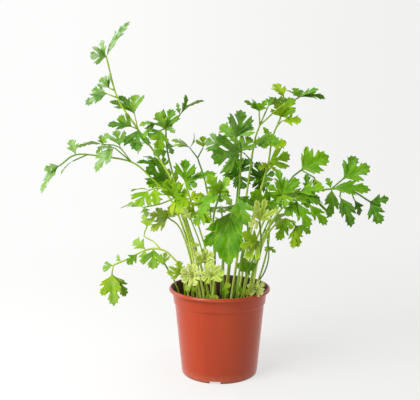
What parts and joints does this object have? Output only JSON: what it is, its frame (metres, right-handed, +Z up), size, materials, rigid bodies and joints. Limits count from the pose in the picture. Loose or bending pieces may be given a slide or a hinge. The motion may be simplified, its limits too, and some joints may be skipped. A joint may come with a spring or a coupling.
{
  "type": "potted parsley",
  "caption": "Flat-leaf parsley plant with long arching stems, lobed leaflets and pale young shoots, growing from compost in a tapered round plastic nursery pot.",
  "frame": {"origin": "middle of the pot's foot, on the surface that it stands on", "axes": "+Z up along the pot's axis, -Y towards the plant's front, +X to the viewer's right"},
  "size_m": [0.4387, 0.2681, 0.4514],
  "materials": {
    "pot_plastic": "satin terracotta-coloured moulded plastic",
    "compost": "damp dark peat compost, rough",
    "leaf_green": "soft satin green leaf",
    "leaf_gold": "soft satin yellow-green young leaf"
  },
  "bodies": {
    "root": {"pot": "pot_plastic", "soil": "compost", "frond_tall_left": "leaf_green", "frond_second_left": "leaf_green", "frond_far_left": "leaf_green", "frond_dark_left": "leaf_green", "frond_low_arch_left": "leaf_green", "frond_drooping_left": "leaf_green", "frond_leaning_left": "leaf_green", "frond_centre_small": "leaf_green", "frond_slender_back": "leaf_green", "frond_centre_tall": "leaf_green", "frond_right_tall": "leaf_green", "frond_right_yellow": "leaf_green", "frond_fan_right": "leaf_green", "frond_far_right": "leaf_green", "frond_bushy_right": "leaf_green", "frond_low_right": "leaf_green", "frond_front_big": "leaf_green", "frond_front_left": "leaf_green", "frond_front_right": "leaf_green", "frond_sprout_right": "leaf_green", "frond_gold_low_left": "leaf_gold", "frond_gold_centre_left": "leaf_gold", "frond_gold_centre": "leaf_gold", "frond_wisp_left": "leaf_green", "frond_gold_left": "leaf_gold", "frond_gold_right": "leaf_gold", "frond_gold_mid_right": "leaf_gold", "frond_gold_high_right": "leaf_gold", "frond_dark_back": "leaf_green", "frond_dark_back_right": "leaf_green", "frond_rear_left": "leaf_green", "frond_rear_right": "leaf_green", "frond_rear_middle": "leaf_green"}
  },
  "joints": []
}
